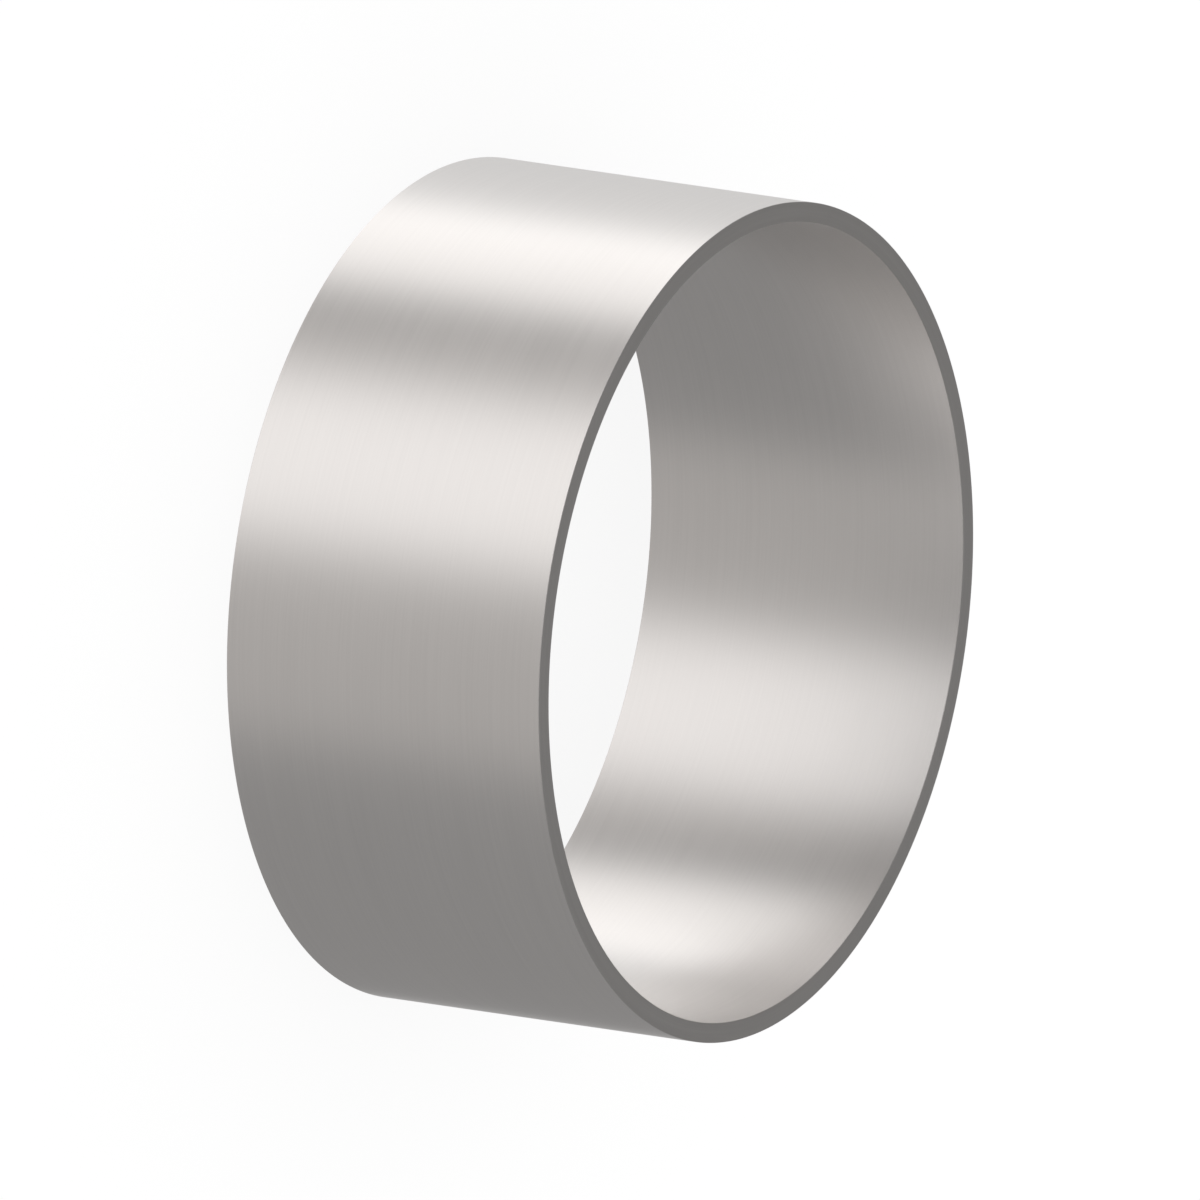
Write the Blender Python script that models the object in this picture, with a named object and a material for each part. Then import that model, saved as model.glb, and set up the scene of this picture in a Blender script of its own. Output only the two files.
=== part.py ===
"""Bearing spacer: a plain thin-walled steel ring that holds two bearings a set distance apart.

The ring is turned in one piece. It stands on one end face, with its axis along +Z
and its origin at the centre of that face. Sizes are in metres.
"""

import math

import bmesh
import bpy

# Driving dimensions
OUTER_DIAMETER = 0.042  # slides into the housing bore beside the bearings' outer rings
WALL = 0.001
WIDTH = 0.018  # the distance that the spacer keeps between the bearings
EDGE_BREAK = 0.00005  # the sharp corners are only broken, too little for the photograph to show
SEGMENTS = 180  # a multiple of four, so that the ring is as wide as its diameter along X and Y

# Largest share of the wall that one broken corner may take
EDGE_BREAK_LIMIT = 0.25

# Faces that meet at more than this angle keep a crisp edge between them
SHARP_ANGLE = math.radians(30)

# Bare steel, turned to an even satin finish
STEEL_COLOUR = (0.80, 0.786, 0.776, 1.0)
STEEL_ROUGHNESS = 0.31


def clear_scene():
    for obj in list(bpy.data.objects):
        bpy.data.objects.remove(obj, do_unlink=True)


def make_steel():
    """Bare turned steel with a satin finish."""
    material = bpy.data.materials.new("steel")
    material.use_nodes = True
    shader = material.node_tree.nodes["Principled BSDF"]
    shader.inputs["Base Color"].default_value = STEEL_COLOUR
    shader.inputs["Metallic"].default_value = 1.0
    shader.inputs["Roughness"].default_value = STEEL_ROUGHNESS
    material.diffuse_color = STEEL_COLOUR
    material.metallic = 1.0
    material.roughness = STEEL_ROUGHNESS
    return material


def wall_section():
    """The wall's outline as (radius, height) points: a tall thin rectangle with broken corners."""
    outer = OUTER_DIAMETER / 2
    bore = outer - WALL
    edge = min(EDGE_BREAK, EDGE_BREAK_LIMIT * WALL)
    return [
        (outer, edge),
        (outer, WIDTH - edge),
        (outer - edge, WIDTH),
        (bore + edge, WIDTH),
        (bore, WIDTH - edge),
        (bore, edge),
        (bore + edge, 0.0),
        (outer - edge, 0.0),
    ]


def revolve(name, section, segments):
    """A mesh made by turning a closed (radius, height) outline once round the Z axis."""
    shape = bmesh.new()
    corners = [shape.verts.new((radius, 0.0, height)) for radius, height in section]
    outline = [shape.edges.new(pair) for pair in zip(corners, corners[1:] + corners[:1])]
    bmesh.ops.spin(
        shape,
        geom=corners + outline,
        cent=(0.0, 0.0, 0.0),
        axis=(0.0, 0.0, 1.0),
        angle=math.tau,
        steps=segments,
        use_merge=True,
    )
    bmesh.ops.recalc_face_normals(shape, faces=shape.faces)
    mesh = bpy.data.meshes.new(name)
    shape.to_mesh(mesh)
    shape.free()
    mesh.shade_smooth()
    mesh.set_sharp_from_angle(angle=SHARP_ANGLE)
    return mesh


def make_spacer_ring(steel):
    mesh = revolve("spacer_ring", wall_section(), SEGMENTS)
    mesh.materials.append(steel)
    ring = bpy.data.objects.new("spacer_ring", mesh)
    bpy.context.scene.collection.objects.link(ring)
    return ring


clear_scene()
make_spacer_ring(make_steel())
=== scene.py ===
import math
from typing import NamedTuple

import bmesh
import bpy
from mathutils import Matrix, Vector


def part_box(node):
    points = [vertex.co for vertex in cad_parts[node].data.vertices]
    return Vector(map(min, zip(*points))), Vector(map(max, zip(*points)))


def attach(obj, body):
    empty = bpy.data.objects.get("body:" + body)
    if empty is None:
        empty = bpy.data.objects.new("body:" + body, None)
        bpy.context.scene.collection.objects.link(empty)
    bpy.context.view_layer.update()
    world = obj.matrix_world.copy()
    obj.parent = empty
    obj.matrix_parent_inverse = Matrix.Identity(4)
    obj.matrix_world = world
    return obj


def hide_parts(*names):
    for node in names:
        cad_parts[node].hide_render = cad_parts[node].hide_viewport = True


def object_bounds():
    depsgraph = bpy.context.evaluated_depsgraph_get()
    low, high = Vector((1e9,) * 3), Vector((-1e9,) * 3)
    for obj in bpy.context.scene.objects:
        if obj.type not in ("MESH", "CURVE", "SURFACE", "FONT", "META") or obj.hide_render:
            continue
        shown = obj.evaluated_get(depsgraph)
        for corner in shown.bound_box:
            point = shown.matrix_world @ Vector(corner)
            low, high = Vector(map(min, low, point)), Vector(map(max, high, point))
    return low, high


# A bearing spacer: one thin-walled ring of satin steel, standing on an end face on a white table.
# Lengths are in metres and angles in degrees. An azimuth of 0 is the camera's side (-Y) and 90 is -X.
# An elevation of 0 is level and 90 is straight up.


class Softbox(NamedTuple):
    """A soft-edged light in the studio: the angles that it covers, and the light that it adds there."""

    azimuth: float
    half_width: float
    bottom: float
    top: float
    softness: float
    level: float
    colour: tuple


# The ring: enough segments to look round, and corners rounded too little for the photograph to show
SEGMENTS = 720
EDGE_RADIUS = 0.00003
EDGE_STEPS = 3
LARGE_FACE_WEIGHT = 100

# The photograph is a parallel view, 1200 pixels wide, with the ring in its middle
PHOTO_WIDTH_PX = 1200.0
RING_RADIUS_PX = 423.9
CAMERA_ELEVATION = 29.86
CAMERA_ROLL = 98.19
CAMERA_DISTANCE = 0.5

# Satin steel: fine marks run round the ring, and the finish varies slowly over them
STEEL_COLOUR = (0.80, 0.786, 0.776)
STEEL_ROUGHNESS = 0.31
MARK_PITCH = 0.00012
MARK_DEPTH = 0.0000012
MARKS_ROUND = 2.0
MARK_DETAIL = 3.0
MARK_COLOUR_CHANGE = 0.04
MARK_ROUGHNESS_CHANGE = 0.06
CLOUD_SIZE = 0.008
CLOUD_DETAIL = 2.0
CLOUD_ROUGHNESS_CHANGE = 0.03

# The studio that the steel mirrors: walls all round, softboxes in front of them, a pale table and a ceiling
WALL_COLOUR = (1.0, 0.983, 0.973)
WALL_LEVEL = 0.284
NEAR_SOFTBOX = Softbox(
    azimuth=28.0,
    half_width=24.0,
    bottom=-40.0,
    top=35.0,
    softness=11.0,
    level=0.73,
    colour=(1.0, 0.984, 0.979),
)
SIDE_SOFTBOX = Softbox(
    azimuth=98.5,
    half_width=18.0,
    bottom=-37.0,
    top=35.0,
    softness=8.0,
    level=1.08,
    colour=(1.0, 0.977, 0.957),
)
LOW_SOFTBOX = Softbox(
    azimuth=151.5,
    half_width=39.5,
    bottom=-61.0,
    top=-28.0,
    softness=9.0,
    level=0.828,
    colour=(1.0, 0.996, 0.989),
)
FILL_SOFTBOX = Softbox(
    azimuth=10.0,
    half_width=59.5,
    bottom=-29.0,
    top=35.0,
    softness=8.0,
    level=0.377,
    colour=(1.0, 0.934, 0.876),
)
TABLE_AND_CEILING_COLOUR = (1.0, 0.980, 0.961)
TABLE_LEVEL = 0.6
CEILING_LEVEL = 0.173
CEILING_SOFTBOX_LEVEL = 0.6
# Each fades in between two angles: the table below the horizon, the ceiling and its softbox above it
TABLE_FADE = (35.0, 75.0)
CEILING_FADE = (0.0, 20.0)
CEILING_SOFTBOX_FADE = (60.0, 75.0)

# The even light on what doesn't mirror, and the white that the camera sees behind the ring
AMBIENT_COLOUR = (1.0, 1.0, 1.0)
WHITE = (1.0, 1.0, 1.0)

# The white table: mostly its own white to the camera, and the rest shaded, which keeps a faint shadow
FLOOR_WIDTH = 3.0
FLOOR_COLOUR = (0.95, 0.95, 0.95)
FLOOR_WHITE_SHARE = 0.85
FLOOR_WHITE_LEVEL = 1.02


def ring_sizes(node):
    """(outer radius, bore radius, width) of the CAD ring."""
    radii = [math.hypot(v.co.x, v.co.y) for v in node.data.vertices]
    low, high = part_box(node.name)
    return high[0], min(radii), high[2] - low[2]


def wall_section(outer, bore, width):
    """The wall's outline as (radius, height) points, with each corner rounded by a quarter circle."""
    edge = EDGE_RADIUS
    # Each quarter circle's centre, and the direction in which it starts
    quarters = [
        (outer - edge, edge, -90),
        (outer - edge, width - edge, 0),
        (bore + edge, width - edge, 90),
        (bore + edge, edge, 180),
    ]
    points = []
    for radius, height, start in quarters:
        for step in range(EDGE_STEPS + 1):
            angle = math.radians(start + 90 * step / EDGE_STEPS)
            points.append((radius + edge * math.cos(angle), height + edge * math.sin(angle)))
    return points


def make_ring(node):
    """The ring with a round, smooth surface in place of the CAD solid's facets."""
    section = wall_section(*ring_sizes(node))
    shape = bmesh.new()
    corners = [shape.verts.new((radius, 0.0, height)) for radius, height in section]
    outline = [shape.edges.new(pair) for pair in zip(corners, corners[1:] + corners[:1])]
    bmesh.ops.spin(
        shape,
        geom=corners + outline,
        cent=(0.0, 0.0, 0.0),
        axis=(0.0, 0.0, 1.0),
        angle=math.tau,
        steps=SEGMENTS,
        use_merge=True,
    )
    bmesh.ops.recalc_face_normals(shape, faces=shape.faces)
    mesh = bpy.data.meshes.new("turned_ring")
    shape.to_mesh(mesh)
    shape.free()
    mesh.shade_smooth()
    ring = bpy.data.objects.new("turned_ring", mesh)
    bpy.context.scene.collection.objects.link(ring)
    # The large faces set the normals, so that the walls and ends are true right up to the rounded corners
    normals = ring.modifiers.new("true_walls", "WEIGHTED_NORMAL")
    normals.mode = "FACE_AREA"
    normals.weight = LARGE_FACE_WEIGHT
    return ring


def feed(tree, socket, given):
    """Links an input to another node's output, or sets it to a plain number or colour."""
    if isinstance(given, bpy.types.NodeSocket):
        tree.links.new(given, socket)
    elif socket.type == "RGBA":
        socket.default_value = (*given, 1.0)
    else:
        socket.default_value = given


def value_node(tree, operation, *inputs):
    """A Math node fed by sockets or plain numbers. Returns its output."""
    node = tree.nodes.new("ShaderNodeMath")
    node.operation = operation
    for socket, given in zip(node.inputs, inputs):
        feed(tree, socket, given)
    return node.outputs["Value"]


def mix_colours(tree, factor, first, second):
    """The first colour where the factor is 0, and the second where it is 1."""
    node = tree.nodes.new("ShaderNodeMix")
    node.data_type = "RGBA"
    feed(tree, node.inputs["Factor"], factor)
    colours = [socket for socket in node.inputs if socket.type == "RGBA"]
    for socket, given in zip(colours, (first, second)):
        feed(tree, socket, given)
    return next(socket for socket in node.outputs if socket.type == "RGBA")


def fade(tree, angle, start, end):
    """0 where an angle is below start, 1 above end, and a smooth rise between them."""
    node = tree.nodes.new("ShaderNodeMapRange")
    node.interpolation_type = "SMOOTHSTEP"
    tree.links.new(angle, node.inputs["Value"])
    node.inputs["From Min"].default_value = math.radians(start)
    node.inputs["From Max"].default_value = math.radians(end)
    return node.outputs["Result"]


def noise(tree, place, scale, detail):
    """Soft noise around 0.5 at a place."""
    node = tree.nodes.new("ShaderNodeTexNoise")
    tree.links.new(place, node.inputs["Vector"])
    node.inputs["Scale"].default_value = scale
    node.inputs["Detail"].default_value = detail
    return node.outputs["Fac"]


def scaled(colour, level):
    """A colour times a level."""
    return tuple(channel * level for channel in colour)


def turning_marks(tree, place):
    """Noise drawn out round the ring: the marks of turning, on the walls and on the end faces alike."""
    split = tree.nodes.new("ShaderNodeSeparateXYZ")
    tree.links.new(place, split.inputs["Vector"])
    x, y, z = split.outputs
    square = value_node(tree, "MULTIPLY_ADD", x, x, value_node(tree, "MULTIPLY", y, y))
    radius = value_node(tree, "SQRT", square)
    # Height changes up a wall and radius changes over an end face, so their sum runs across the marks on both
    across = value_node(tree, "ADD", radius, z)
    stretched = tree.nodes.new("ShaderNodeCombineXYZ")
    for socket, side in zip(stretched.inputs, (x, y)):
        round_ring = value_node(tree, "DIVIDE", side, radius)
        tree.links.new(value_node(tree, "MULTIPLY", round_ring, MARKS_ROUND), socket)
    tree.links.new(value_node(tree, "DIVIDE", across, MARK_PITCH), stretched.inputs["Z"])
    return noise(tree, stretched.outputs["Vector"], 1.0, MARK_DETAIL)


def steel_material():
    """Satin steel, bare and evenly finished, with fine marks round the ring."""
    material = bpy.data.materials.new("satin_turned_steel")
    material.use_nodes = True
    tree = material.node_tree
    shader = tree.nodes["Principled BSDF"]
    shader.inputs["Metallic"].default_value = 1.0
    place = tree.nodes.new("ShaderNodeTexCoord").outputs["Object"]
    marks = turning_marks(tree, place)
    clouds = noise(tree, place, 1 / CLOUD_SIZE, CLOUD_DETAIL)

    darker = scaled(STEEL_COLOUR, 1 - MARK_COLOUR_CHANGE)
    lighter = scaled(STEEL_COLOUR, 1 + MARK_COLOUR_CHANGE)
    feed(tree, shader.inputs["Base Color"], mix_colours(tree, marks, darker, lighter))

    centre = STEEL_ROUGHNESS - (MARK_ROUGHNESS_CHANGE + CLOUD_ROUGHNESS_CHANGE) / 2
    rough = value_node(tree, "MULTIPLY_ADD", marks, MARK_ROUGHNESS_CHANGE, centre)
    rough = value_node(tree, "MULTIPLY_ADD", clouds, CLOUD_ROUGHNESS_CHANGE, rough)
    tree.links.new(rough, shader.inputs["Roughness"])

    bump = tree.nodes.new("ShaderNodeBump")
    bump.inputs["Distance"].default_value = MARK_DEPTH
    tree.links.new(marks, bump.inputs["Height"])
    tree.links.new(bump.outputs["Normal"], shader.inputs["Normal"])
    return material


def window(tree, angle, middle, reach, softness):
    """1 where an angle lies within reach of the middle, 0 well outside, and soft between them."""
    away = value_node(tree, "SUBTRACT", angle, math.radians(middle))
    away = value_node(tree, "WRAP", away, math.pi, -math.pi)
    away = value_node(tree, "ABSOLUTE", away)
    outside = fade(tree, away, reach - softness, reach + softness)
    return value_node(tree, "SUBTRACT", 1.0, outside)


def add_light(tree, light, share, colour):
    """The light so far, with a share of a colour added to it."""
    node = tree.nodes.new("ShaderNodeVectorMath")
    node.operation = "MULTIPLY_ADD"
    for socket, given in zip(node.inputs, (share, colour, light)):
        feed(tree, socket, given)
    return node.outputs["Vector"]


def ray_angles(tree):
    """(azimuth, elevation) of the direction in which a ray leaves."""
    direction = tree.nodes.new("ShaderNodeTexCoord").outputs["Generated"]
    split = tree.nodes.new("ShaderNodeSeparateXYZ")
    tree.links.new(direction, split.inputs["Vector"])
    x, y, z = split.outputs
    away_x = value_node(tree, "MULTIPLY", x, -1.0)
    away_y = value_node(tree, "MULTIPLY", y, -1.0)
    return value_node(tree, "ARCTAN2", away_x, away_y), value_node(tree, "ARCSINE", z)


def add_softbox(tree, light, box, azimuth, elevation):
    """The light so far, with a softbox's own light added in its part of the studio."""
    middle, reach = (box.bottom + box.top) / 2, (box.top - box.bottom) / 2
    across = window(tree, azimuth, box.azimuth, box.half_width, box.softness)
    upward = window(tree, elevation, middle, reach, box.softness)
    share = value_node(tree, "MULTIPLY", across, upward)
    return add_light(tree, light, share, scaled(box.colour, box.level))


def studio_light(tree):
    """The colour and brightness of the studio in the direction in which a ray leaves."""
    azimuth, elevation = ray_angles(tree)
    down = value_node(tree, "MULTIPLY", elevation, -1.0)
    table = scaled(TABLE_AND_CEILING_COLOUR, TABLE_LEVEL)
    light = add_light(tree, scaled(WALL_COLOUR, WALL_LEVEL), fade(tree, down, *TABLE_FADE), table)
    for box in (NEAR_SOFTBOX, SIDE_SOFTBOX, LOW_SOFTBOX, FILL_SOFTBOX):
        light = add_softbox(tree, light, box, azimuth, elevation)

    ceiling = scaled(TABLE_AND_CEILING_COLOUR, CEILING_LEVEL)
    ceiling_softbox = scaled(TABLE_AND_CEILING_COLOUR, CEILING_SOFTBOX_LEVEL)
    ceiling = add_light(tree, ceiling, fade(tree, elevation, *CEILING_SOFTBOX_FADE), ceiling_softbox)
    return mix_colours(tree, fade(tree, elevation, *CEILING_FADE), light, ceiling)


def background(tree, colour):
    """A background shader of a plain or computed colour."""
    node = tree.nodes.new("ShaderNodeBackground")
    feed(tree, node.inputs["Color"], colour)
    return node.outputs["Background"]


def mix_shaders(tree, factor, first, second):
    """The first shader where the factor is 0, and the second where it is 1."""
    mix = tree.nodes.new("ShaderNodeMixShader")
    tree.links.new(factor, mix.inputs["Fac"])
    tree.links.new(first, mix.inputs[1])
    tree.links.new(second, mix.inputs[2])
    return mix.outputs["Shader"]


def make_world():
    """White to the camera, the studio to what is mirrored, and an even light on everything else."""
    world = bpy.data.worlds.new("white_studio")
    world.use_nodes = True
    tree = world.node_tree
    tree.nodes.clear()
    path = tree.nodes.new("ShaderNodeLightPath").outputs
    mirrored = value_node(tree, "MAXIMUM", path["Is Glossy Ray"], path["Is Transmission Ray"])
    studio = background(tree, studio_light(tree))
    light = mix_shaders(tree, mirrored, background(tree, AMBIENT_COLOUR), studio)
    seen = mix_shaders(tree, path["Is Camera Ray"], light, background(tree, WHITE))
    output = tree.nodes.new("ShaderNodeOutputWorld")
    tree.links.new(seen, output.inputs["Surface"])
    bpy.context.scene.world = world


def floor_material():
    """Pale, but mixed with plain white where the camera sees it, which leaves only a faint shadow."""
    material = bpy.data.materials.new("white_table")
    material.use_nodes = True
    tree = material.node_tree
    tree.nodes.clear()
    shaded = tree.nodes.new("ShaderNodeBsdfDiffuse")
    feed(tree, shaded.inputs["Color"], FLOOR_COLOUR)
    white = tree.nodes.new("ShaderNodeEmission")
    feed(tree, white.inputs["Color"], WHITE)
    white.inputs["Strength"].default_value = FLOOR_WHITE_LEVEL
    path = tree.nodes.new("ShaderNodeLightPath").outputs
    share = value_node(tree, "MULTIPLY", path["Is Camera Ray"], FLOOR_WHITE_SHARE)
    seen = mix_shaders(tree, share, shaded.outputs["BSDF"], white.outputs["Emission"])
    output = tree.nodes.new("ShaderNodeOutputMaterial")
    tree.links.new(seen, output.inputs["Surface"])
    return material


def make_floor():
    """The table that the ring stands on. Mirror rays don't see it, because the studio has its own table."""
    mesh = bpy.data.meshes.new("floor")
    half = FLOOR_WIDTH / 2
    corners = [(-half, -half, 0), (half, -half, 0), (half, half, 0), (-half, half, 0)]
    mesh.from_pydata(corners, [], [(0, 1, 2, 3)])
    mesh.materials.append(floor_material())
    floor = bpy.data.objects.new("floor", mesh)
    floor.visible_glossy = False
    bpy.context.scene.collection.objects.link(floor)


def make_camera(low, high):
    """The photograph's view: from above, and rolled so that the ring's axis lies nearly level in it."""
    outer_radius = (high - low).x / 2
    data = bpy.data.cameras.new("camera")
    data.type = "ORTHO"
    data.ortho_scale = PHOTO_WIDTH_PX / RING_RADIUS_PX * outer_radius
    camera = bpy.data.objects.new("camera", data)
    tilt = Matrix.Rotation(math.radians(90 - CAMERA_ELEVATION), 4, "X")
    roll = Matrix.Rotation(math.radians(CAMERA_ROLL), 4, "Z")
    back = Matrix.Translation(Vector((0, 0, CAMERA_DISTANCE)))
    camera.matrix_world = Matrix.Translation((low + high) / 2) @ tilt @ roll @ back
    bpy.context.scene.collection.objects.link(camera)
    bpy.context.scene.camera = camera


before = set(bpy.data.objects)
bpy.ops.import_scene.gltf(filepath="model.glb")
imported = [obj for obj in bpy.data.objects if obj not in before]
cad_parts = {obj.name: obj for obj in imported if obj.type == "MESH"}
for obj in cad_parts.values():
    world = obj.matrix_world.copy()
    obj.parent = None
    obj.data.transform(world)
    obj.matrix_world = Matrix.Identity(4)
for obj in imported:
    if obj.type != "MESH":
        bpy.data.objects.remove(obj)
cad_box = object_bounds()
make_camera(*cad_box)
make_world()
make_floor()
bpy.context.scene.view_settings.view_transform = "Standard"

ring = make_ring(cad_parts["spacer_ring"])
ring.data.materials.append(steel_material())
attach(ring, "root")
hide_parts("spacer_ring")
